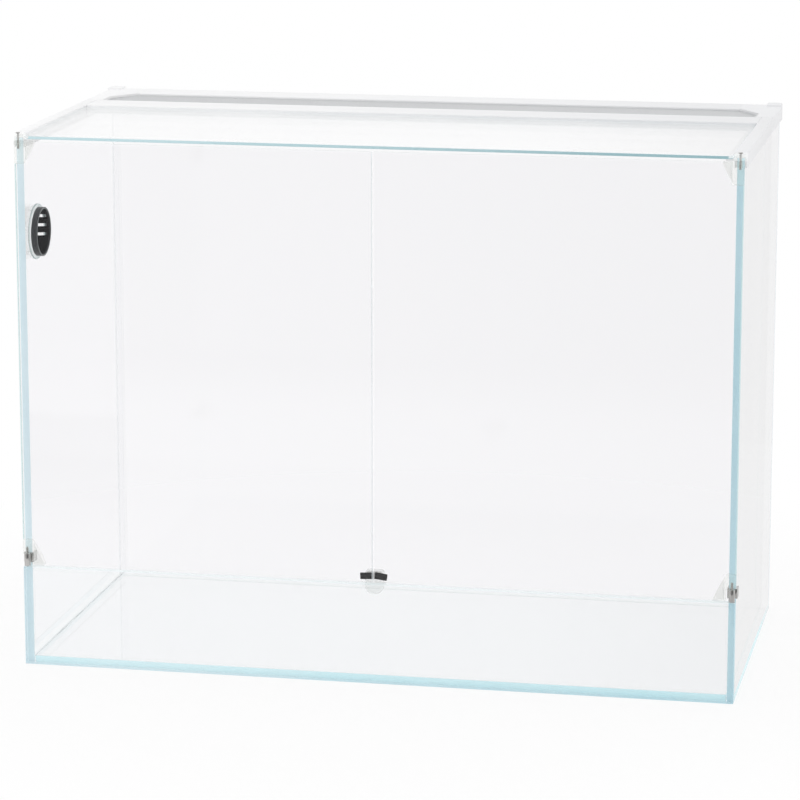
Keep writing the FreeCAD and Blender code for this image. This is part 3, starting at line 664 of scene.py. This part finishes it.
for node in ("left_rear_seam", "right_rear_seam", "left_front_seam", "right_front_seam"):
    low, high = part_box(node)
    side = 1 if low.x > 0 else -1
    back = 1 if low.y > 0 else -1
    outer_x = max(abs(low.x), abs(high.x))
    foot = floor_pane_top + BEAD
    steps = round((high.z - foot) / BEAD_RUN)
    sections = []
    for step in range(steps + 1):
        z = foot + (high.z - foot) * step / steps
        size = BEAD * wander(side * inner_x, back * inner_y, z, CORNER_SEED)
        face_x, face_y = inner_x - SEAM_PLAY, inner_y - SEAM_PLAY
        bond_y = inner_y - SEAM + SEAM_PLAY
        profile = [(outer_x, face_y), (outer_x, bond_y), (face_x, bond_y)]
        profile += [(face_x - run, face_y - reach) for reach, run in hollow_bead(size)]
        sections.append([(side * x, back * y, z) for x, y in profile])
    bead = joined(swept(sections, False), node.replace("seam", "bead"), [corner_silicone])
    placed(smooth(bead), "tank", node)


# The white top frame: rails, rear rail, vent bar and corner blocks moulded in white plastic with a
# fine satin surface, pushed down over the top edges of the panes.
# The frame is painted paler towards the lit left side and darker towards the right, as painted light
# and shade.
FRAME_WHITE = (0.97, 0.97, 0.975, 1)
FRAME_SHADE = (0.86, 0.865, 0.88, 1)
FRAME_LIT_LEFT = 0.8
FRAME_ROUND = 0.0006
ROUND_STEPS = 2
GRAIN_SPREAD = 0.16
WELD = 1e-6
FLAT_ANGLE = math.radians(0.5)
ROUNDED_ANGLE = math.radians(40)


def moulded(name, colour, shade, roughness, grain, depth, shine=0.5, lit_left=0.0):
    """Moulded plastic: a fine spark-eroded grain, faint flow clouding and a soft gloss.

    With lit_left it has painted light: paler towards the lit window side at the left, and darker
    towards the right.
    """
    finish, wire = new_finish(name)
    place = wire.add("TexCoord", {}, {}, "Object")
    flow = wire.add("TexNoise", {}, {"Vector": place, "Scale": 14.0, "Detail": 3.0})
    paleness = flow
    if lit_left:
        # Painted light and shade across the piece, from left to right.
        to_left = wire.add("SeparateXYZ", {}, {"Vector": place}, "X").eased(
            -HALF_LENGTH, HALF_LENGTH, lit_left, 0.0
        )
        paleness = (1 - lit_left) * flow + to_left
    tone = wire.add("Mix", {"data_type": "RGBA"}, {0: paleness, 6: shade, 7: colour}, 2)
    spark = wire.add("TexNoise", {}, {"Vector": place, "Scale": grain, "Detail": 2.0})
    satin = wire.add("Bump", {}, {"Height": spark, "Strength": depth, "Distance": 0.0002})
    body = wire.add(
        "BsdfPrincipled",
        {},
        {
            "Base Color": tone,
            "Roughness": roughness - GRAIN_SPREAD / 2 + GRAIN_SPREAD * spark,
            "IOR": 1.5,
            "Specular IOR Level": shine,
            "Normal": satin,
        },
    )
    wire.add("OutputMaterial", {}, {"Surface": body})
    return finish


def softened(node, name, radius, finishes):
    """A copy of a CAD node with its sharp edges rounded off."""
    form = bmesh.new()
    form.from_mesh(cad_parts[node].data)
    bmesh.ops.remove_doubles(form, verts=form.verts, dist=WELD)
    bmesh.ops.dissolve_limit(form, angle_limit=FLAT_ANGLE, verts=form.verts, edges=form.edges)
    bevelled(form, radius, ROUND_STEPS, ROUNDED_ANGLE)
    return smooth(joined(form, name, finishes))


white_plastic = moulded(
    "white_satin_plastic",
    FRAME_WHITE,
    FRAME_SHADE,
    roughness=0.42,
    grain=2600.0,
    depth=0.12,
    lit_left=FRAME_LIT_LEFT,
)
for node in (
    "left_top_rail",
    "right_top_rail",
    "rear_top_rail",
    "vent_front_bar",
    "left_corner_block",
    "right_corner_block",
):
    piece = softened(node, node + "_moulding", FRAME_ROUND, [white_plastic])
    placed(piece, "tank", node)


# The vent mesh: fine stainless wire in a plain weave, held in a thin flat hem and laid on the ledges
# of the slot.
WEAVE_PITCH = 0.0020
WIRE_RADIUS = 0.00021
WEAVE_SWING = 0.00018
HEM_WIDTH = 0.0016
HEM_HALF = 1.5 * WIRE_RADIUS
SLOT_CORNER_X = 0.019
SLOT_CORNER_Y = 0.026
MESH_STEEL = (0.86, 0.87, 0.88, 1)
STEEL_DULL = 0.8
STEEL_GLOSS = 0.06
STEEL_SPREAD = 0.14
EVEN_LINES = (1.0, 1.0, 1.0)


def steel_finish(name, colour, roughness, grain, stretch=EVEN_LINES):
    """Bright steel with fine drawn or rolled lines."""
    finish, wire = new_finish(name)
    place = wire.add("TexCoord", {}, {}, "Object")
    drawn = wire.add("Mapping", {}, {"Vector": place, "Scale": stretch})
    lines = wire.add("TexNoise", {}, {"Vector": drawn, "Scale": grain, "Detail": 3.0})
    dull = tuple(STEEL_DULL * value for value in colour[:3]) + (1,)
    tone = wire.add("Mix", {"data_type": "RGBA"}, {0: lines, 6: dull, 7: colour}, 2)
    scored = wire.add("Bump", {}, {"Height": lines, "Strength": 0.1, "Distance": 0.0001})
    body = wire.add(
        "BsdfPrincipled",
        {},
        {
            "Base Color": tone,
            "Metallic": 1.0,
            "Roughness": roughness - STEEL_GLOSS + STEEL_SPREAD * lines,
            "Normal": scored,
        },
    )
    wire.add("OutputMaterial", {}, {"Surface": body})
    return finish


def wire_strand(form, points):
    """A thin four-sided strand through the points, closed at its ends."""
    along = (Vector(points[-1]) - Vector(points[0])).normalized()
    up = Vector((0, 0, 1))
    side = along.cross(up)
    ring_offsets = [side, up, -side, -up]
    rings = [
        [form.verts.new(Vector(point) + offset * WIRE_RADIUS) for offset in ring_offsets]
        for point in points
    ]
    for ring, following in zip(rings, rings[1:]):
        for here in range(len(ring)):
            after = (here + 1) % len(ring)
            form.faces.new([ring[here], following[here], following[after], ring[after]])
    form.faces.new(rings[0])
    form.faces.new(rings[-1][::-1])


mesh_low, mesh_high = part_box("vent_mesh")
mesh_middle = (mesh_low.z + mesh_high.z) / 2
columns = int((mesh_high.x - mesh_low.x - 2 * HEM_WIDTH) / WEAVE_PITCH)
rows = int((mesh_high.y - mesh_low.y - 2 * HEM_WIDTH) / WEAVE_PITCH)
first_x = -columns * WEAVE_PITCH / 2
first_y = (mesh_low.y + mesh_high.y - rows * WEAVE_PITCH) / 2
slope = SLOT_CORNER_Y / SLOT_CORNER_X


def open_weave(x, y):
    """True inside the mesh's outline, whose rear corners are cut off."""
    cut = mesh_high.y - HEM_WIDTH - max(0, abs(x) - (mesh_high.x - SLOT_CORNER_X)) * slope
    return y <= cut


form = bmesh.new()
for row in range(rows + 1):
    y = first_y + row * WEAVE_PITCH
    points = []
    for column in range(columns + 1):
        x = first_x + column * WEAVE_PITCH
        if open_weave(x, y):
            lift = WEAVE_SWING if (row + column) % 2 else -WEAVE_SWING
            points.append((x, y, mesh_middle + lift))
    wire_strand(form, points)
for column in range(columns + 1):
    x = first_x + column * WEAVE_PITCH
    points = []
    for row in range(rows + 1):
        y = first_y + row * WEAVE_PITCH
        if open_weave(x, y):
            lift = -WEAVE_SWING if (row + column) % 2 else WEAVE_SWING
            points.append((x, y, mesh_middle + lift))
    if len(points) > 1:
        wire_strand(form, points)
outer_hem = [
    (mesh_low.x, mesh_low.y),
    (mesh_high.x, mesh_low.y),
    (mesh_high.x, mesh_high.y - SLOT_CORNER_Y),
    (mesh_high.x - SLOT_CORNER_X, mesh_high.y),
    (mesh_low.x + SLOT_CORNER_X, mesh_high.y),
    (mesh_low.x, mesh_high.y - SLOT_CORNER_Y),
]
hem_middle = (mesh_low.y + mesh_high.y) / 2
inner_hem = [
    (x - math.copysign(HEM_WIDTH, x), y - math.copysign(HEM_WIDTH, y - hem_middle))
    for x, y in outer_hem
]
hem = [
    [form.verts.new((x, y, z)) for x, y in outline]
    for outline, z in (
        (outer_hem, mesh_middle - HEM_HALF),
        (outer_hem, mesh_middle + HEM_HALF),
        (inner_hem, mesh_middle + HEM_HALF),
        (inner_hem, mesh_middle - HEM_HALF),
    )
]
for ring, following in zip(hem, hem[1:] + hem[:1]):
    for here in range(len(ring)):
        after = (here + 1) % len(ring)
        form.faces.new([ring[here], ring[after], following[after], following[here]])
bmesh.ops.recalc_face_normals(form, faces=form.faces)
mesh_steel = steel_finish("woven_steel", MESH_STEEL, roughness=0.34, grain=900.0)
placed(joined(form, "vent_weave", [mesh_steel]), "tank", "vent_mesh")


# The lid: a thinner pane of clear glass that lies loose between the rails. Its two front corners are
# rounded and its polished front edge shows blue-green.
LID_CORNER = 0.005
LID_ARRIS = 0.0006
CORNER_STEPS = 6
LID_TINT = (0.992, 0.993, 0.995, 1)
LID_MIRROR = 0.05
LID_FRONT = -0.2
LID_EDGE_DEEP = (0.25, 0.43, 0.47, 1)
LID_EDGE_PALE = (0.55, 0.73, 0.77, 1)
LID_SIDE_DEEP = (0.80, 0.90, 0.92, 1)
LID_SIDE_PALE = (0.90, 0.95, 0.96, 1)

lid_low, lid_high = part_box("top_lid_glass")
outline = [(lid_high.x, lid_high.y), (lid_low.x, lid_high.y)]
for side, start in ((-1, math.pi), (1, 1.5 * math.pi)):
    middle_x = side * (lid_high.x - LID_CORNER)
    middle_y = lid_low.y + LID_CORNER
    for step in range(CORNER_STEPS + 1):
        turn = start + math.pi / 2 * step / CORNER_STEPS
        outline.append(
            (middle_x + LID_CORNER * math.cos(turn), middle_y + LID_CORNER * math.sin(turn))
        )
form = prism(outline, "z", lid_low.z, lid_high.z)
form = pane_faces(bevelled(form, LID_ARRIS, 1), "z")
lid_glass = [
    clear_face("lid_glass_face", LID_TINT, LID_MIRROR),
    ground_edge("lid_front_edge", LID_EDGE_DEEP, LID_EDGE_PALE, roughness=0.15, open_share=0.1),
    ground_edge("lid_side_edge", LID_SIDE_DEEP, LID_SIDE_PALE, roughness=0.4, open_share=0.9),
]
for face in form.faces:
    if face.material_index == EDGE_FINISH and face.normal.y > LID_FRONT:
        face.material_index = ARRIS_FINISH
placed(joined(form, "lid_pane", lid_glass), "lid", "top_lid_glass")


# The doors: two panes of 4 mm glass that meet in the middle. Their outer corners are cut away where
# the hinge corners go. Their ground edges look almost white, and green along the outer sides. Where
# the doors meet, their edges have a painted white highlight and a painted glow.
DOOR_TINT = (0.990, 0.989, 0.993, 1)
DOOR_EDGE_DEEP = (0.76, 0.81, 0.82, 1)
DOOR_EDGE_PALE = (0.84, 0.87, 0.88, 1)
DOOR_ARRIS = (0.90, 0.92, 0.92, 1)
DOOR_OUTER_DEEP = (0.46, 0.66, 0.66, 1)
DOOR_OUTER_PALE = (0.60, 0.77, 0.76, 1)
DOOR_OUTER_CLEAR = 0.2
DOOR_STRIP = 0.001
DOOR_ROUGH = 0.2
# The meeting edges carry a painted white highlight and a painted glow.
MEETING_DEEP = (0.66, 0.70, 0.72, 1)
MEETING_PALE = (0.72, 0.76, 0.78, 1)
MEETING_CLEAR = 0.05
MEETING_PAINTED_GLOW = 0.2
CORNER_SPINE = 0.0065
HINGE_X = 0.297

door_glass = [
    clear_face("door_glass_face", DOOR_TINT, EVEN_MIRROR),
    ground_edge(
        "door_glass_edge", DOOR_EDGE_DEEP, DOOR_EDGE_PALE, DOOR_ROUGH, open_share=1.2, painted_edge_glow=0.0
    ),
    ground_edge(
        "door_glass_arris", DOOR_EDGE_PALE, DOOR_ARRIS, ARRIS_ROUGH, open_share=1.4, painted_edge_glow=0.0
    ),
    ground_edge(
        "door_outer_edge",
        DOOR_OUTER_DEEP,
        DOOR_OUTER_PALE,
        DOOR_ROUGH,
        open_share=0.3,
        inside_clear=DOOR_OUTER_CLEAR,
    ),
    ground_edge(
        "door_meeting_edge",
        MEETING_DEEP,
        MEETING_PALE,
        DOOR_ROUGH,
        open_share=0.2,
        inside_clear=MEETING_CLEAR,
        painted_edge_glow=MEETING_PAINTED_GLOW,
        painted_white_inside=True,
    ),
]
for side, hand in ((-1, "left"), (1, "right")):
    low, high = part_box(hand + "_door_glass")
    notch_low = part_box(hand + "_lower_hinge_corner")[1].z
    notch_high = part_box(hand + "_upper_hinge_corner")[0].z
    inner = min(abs(low.x), abs(high.x))
    outer = max(abs(low.x), abs(high.x))
    spine = HINGE_X - CORNER_SPINE
    outline = [
        (inner, low.z),
        (spine, low.z),
        (spine, notch_low),
        (outer, notch_low),
        (outer, notch_high),
        (spine, notch_high),
        (spine, high.z),
        (inner, high.z),
    ]
    form = prism([(side * x, z) for x, z in outline], "y", low.y, high.y)
    form = pane_faces(bevelled(form, ARRIS, 1), "y")
    for face in form.faces:
        reach = side * face.calc_center_median().x
        if reach > outer - DOOR_STRIP and face.material_index != FACE_FINISH:
            face.material_index = OWN_FINISH
        if reach < inner + DOOR_STRIP and face.material_index == EDGE_FINISH:
            face.material_index = MEETING_FINISH
    piece = joined(form, hand + "_door_pane", door_glass)
    placed(piece, hand + "_door", hand + "_door_glass")


# The hinges: cloudy clear plastic corners on the doors and brackets on the rails, turning on bright
# steel pins. Each lower pin stands in a steel clip that is bent round the edge of the side pane.
CLOUDY = (0.84, 0.86, 0.82, 1)
CLOUDY_PALE = (0.92, 0.93, 0.90, 1)
MILKY = (0.96, 0.97, 0.97, 1)
PLASTIC_CLEAR = (0.992, 0.994, 0.990, 1)
BRIGHT_STEEL = (0.56, 0.55, 0.54, 1)
CLIP_STEEL = (0.60, 0.59, 0.58, 1)
PIN_DRAWN = (1.0, 1.0, 0.1)
CLIP_ROLLED = (0.2, 0.2, 1.0)
PLASTIC_ROUND = 0.0004
STEEL_ROUND = 0.0002
CLOUD_ROUGH = 0.12
CLOUD_SOLID = 0.08
RIM_SOLID = 0.1
RIM_POWER = 4
LIT_THROUGH = 0.5


def cloudy_plastic(name, deep, pale, solid_share, roughness, glow=0.0):
    """Clear moulded plastic that is a little milky: light and part of what is behind come through."""
    finish, wire = new_finish(name)
    place = wire.add("TexCoord", {}, {}, "Object")
    cloud = wire.add("TexNoise", {}, {"Vector": place, "Scale": 160.0, "Detail": 3.0})
    colour = pale
    if deep != pale:
        colour = wire.add("Mix", {"data_type": "RGBA"}, {0: cloud, 6: deep, 7: pale}, 2)
    facing = wire.add("LayerWeight", {}, {"Blend": 0.5}, "Facing")
    mark = wire.add("TexNoise", {}, {"Vector": place, "Scale": 1500.0, "Detail": 2.0})
    dimple = wire.add("Bump", {}, {"Height": mark, "Strength": 0.08, "Distance": 0.0002})
    # With glow, the plastic has a painted glow of its own colour.
    body = wire.add(
        "BsdfPrincipled",
        {},
        {
            "Base Color": colour,
            "Roughness": roughness + CLOUD_ROUGH * cloud,
            "IOR": 1.49,
            "Normal": dimple,
            "Emission Color": colour,
            "Emission Strength": glow,
        },
    )
    lit_through = wire.add("BsdfTranslucent", {}, {"Color": pale})
    milky = wire.add("MixShader", {}, {0: LIT_THROUGH, 1: body, 2: lit_through})
    through = wire.add("BsdfTransparent", {}, {"Color": PLASTIC_CLEAR})
    solid = solid_share + CLOUD_SOLID * cloud + RIM_SOLID * facing ** RIM_POWER
    plastic = wire.add("MixShader", {}, {0: solid, 1: through, 2: milky})
    wire.add("OutputMaterial", {}, {"Surface": plastic})
    return finish


hinge_plastic = cloudy_plastic(
    "cloudy_hinge_plastic", CLOUDY, CLOUDY_PALE, solid_share=0.06, roughness=0.22
)
bush_plastic = cloudy_plastic(
    "clear_bush_plastic", CLOUDY_PALE, CLOUDY_PALE, solid_share=0.02, roughness=0.18
)
# The brackets have a painted glow, so that they look white.
bracket_plastic = cloudy_plastic(
    "white_bracket_plastic", MILKY, MILKY, solid_share=0.06, roughness=0.18, glow=1.2
)
pin_steel = steel_finish(
    "bright_pin_steel", BRIGHT_STEEL, roughness=0.14, grain=1200.0, stretch=PIN_DRAWN
)
clip_steel = steel_finish(
    "bright_clip_steel", CLIP_STEEL, roughness=0.10, grain=900.0, stretch=CLIP_ROLLED
)
for hand in ("left", "right"):
    door = hand + "_door"
    for node, body, finish in (
        (hand + "_lower_hinge_corner", door, hinge_plastic),
        (hand + "_upper_hinge_corner", door, hinge_plastic),
        (hand + "_upper_hinge_bush", door, bush_plastic),
        (hand + "_upper_hinge_bracket", "tank", bracket_plastic),
    ):
        piece = softened(node, node + "_moulding", PLASTIC_ROUND, [finish])
        placed(piece, body, node)
    for node, body, finish in (
        (hand + "_upper_hinge_pin", "tank", pin_steel),
        (hand + "_lower_hinge_pin", "tank", pin_steel),
        (hand + "_lower_hinge_clip", "tank", clip_steel),
    ):
        piece = softened(node, node + "_steel", STEEL_ROUND, [finish])
        placed(piece, body, node)


# The catch: a milky plastic block bonded behind the front panel with a plated magnet let into it, and
# a small black steel plate stuck to the inside of each door.
CATCH_MILKY = (0.91, 0.93, 0.92, 1)
CATCH_PALE = (0.95, 0.97, 0.96, 1)
PLATE_BLACK = (0.005, 0.005, 0.006, 1)
PLATE_WORN = (0.014, 0.014, 0.015, 1)
MAGNET_PLATE = (0.70, 0.69, 0.67, 1)

catch_plastic = cloudy_plastic(
    "milky_catch_plastic", CATCH_MILKY, CATCH_PALE, solid_share=0.18, roughness=0.25
)
piece = softened("catch_body", "catch_block", PLASTIC_ROUND, [catch_plastic])
placed(piece, "tank", "catch_body")
magnet_plating = steel_finish("magnet_plating", MAGNET_PLATE, roughness=0.2, grain=700.0)
piece = softened("catch_magnet", "catch_magnet_bar", STEEL_ROUND, [magnet_plating])
placed(piece, "tank", "catch_magnet")
black_coat = moulded(
    "black_coated_steel", PLATE_BLACK, PLATE_WORN, roughness=0.5, grain=1800.0, depth=0.1, shine=0.1
)
for hand in ("left", "right"):
    node = hand + "_strike_plate"
    piece = softened(node, node + "_coated", STEEL_ROUND, [black_coat])
    placed(piece, hand + "_door", node)


# The side vent: a clear soft grommet pressed into the hole of the left pane, and a black louvred cap
# pushed over its collar from inside.
GROMMET_CLEAR = (0.86, 0.96, 0.96, 1)
GROMMET_RIM = (0.30, 0.40, 0.40, 1)
GROMMET_RIM_PALE = (0.42, 0.54, 0.54, 1)
VENT_BLACK = (0.003, 0.003, 0.004, 1)
VENT_WORN = (0.008, 0.009, 0.010, 1)
# The cap's side, face and rim colours carry painted light, painted shade and a painted highlight.
VENT_SIDE_DARK = (0.020, 0.022, 0.024, 1)
VENT_SIDE = (0.050, 0.053, 0.056, 1)
VENT_RIM_DARK = (0.12, 0.14, 0.14, 1)
VENT_RIM = (0.18, 0.20, 0.20, 1)
VENT_RIM_DEPTH = 0.0006
VENT_GRAIN = {"grain": 2200.0, "depth": 0.1}
GROMMET_ROUGH = 0.12
GROMMET_PAINTED_SHARE = 0.5
FLANGE_FACING = 0.5
FLANGE_FINISH, FLANGE_RIM_FINISH = 1, 2
SLAT_FINISH, CAP_RIM_FINISH = 1, 2

# The clear grommet's flange face is painted milky as a painted highlight, and its rim dark as painted
# shade.
grommet_finishes = [
    cloudy_plastic("clear_grommet", GROMMET_CLEAR, GROMMET_CLEAR, 0.0, GROMMET_ROUGH),
    cloudy_plastic("clear_grommet_painted_highlight", MILKY, GROMMET_CLEAR, GROMMET_PAINTED_SHARE, GROMMET_ROUGH),
    cloudy_plastic("clear_grommet_painted_shade", GROMMET_RIM, GROMMET_RIM_PALE, GROMMET_PAINTED_SHARE, GROMMET_ROUGH),
]
piece = softened("vent_grommet", "vent_grommet_ring", PLASTIC_ROUND, grommet_finishes)
inner_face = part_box("left_side_glass")[1].x
# Painted highlight on the flange's face, painted shade on its rim.
for face in piece.data.polygons:
    if face.center.x > inner_face:
        flat = face.normal.x > FLANGE_FACING
        face.material_index = FLANGE_FINISH if flat else FLANGE_RIM_FINISH
placed(piece, "tank", "vent_grommet")
# One black plastic painted three ways: its side lighter as painted light, its recessed face darker as
# painted shade, and its rim grey as a painted highlight.
cap_finishes = [
    moulded("black_satin_plastic", VENT_SIDE, VENT_SIDE_DARK, roughness=0.40, shine=0.3, **VENT_GRAIN),
    moulded("black_matt_plastic", VENT_WORN, VENT_BLACK, roughness=0.6, shine=0.0, **VENT_GRAIN),
    moulded("black_rim_painted_highlight", VENT_RIM, VENT_RIM_DARK, roughness=0.45, shine=0.3, **VENT_GRAIN),
]
piece = softened("vent_louvre_cap", "vent_louvre", STEEL_ROUND, cap_finishes)
# The rim takes the painted highlight.
rim_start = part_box("vent_louvre_cap")[1].x - VENT_RIM_DEPTH
for face in piece.data.polygons:
    if face.center.x > rim_start:
        face.material_index = CAP_RIM_FINISH
    elif face.normal.x > FACING:
        face.material_index = SLAT_FINISH
placed(piece, "tank", "vent_louvre_cap")
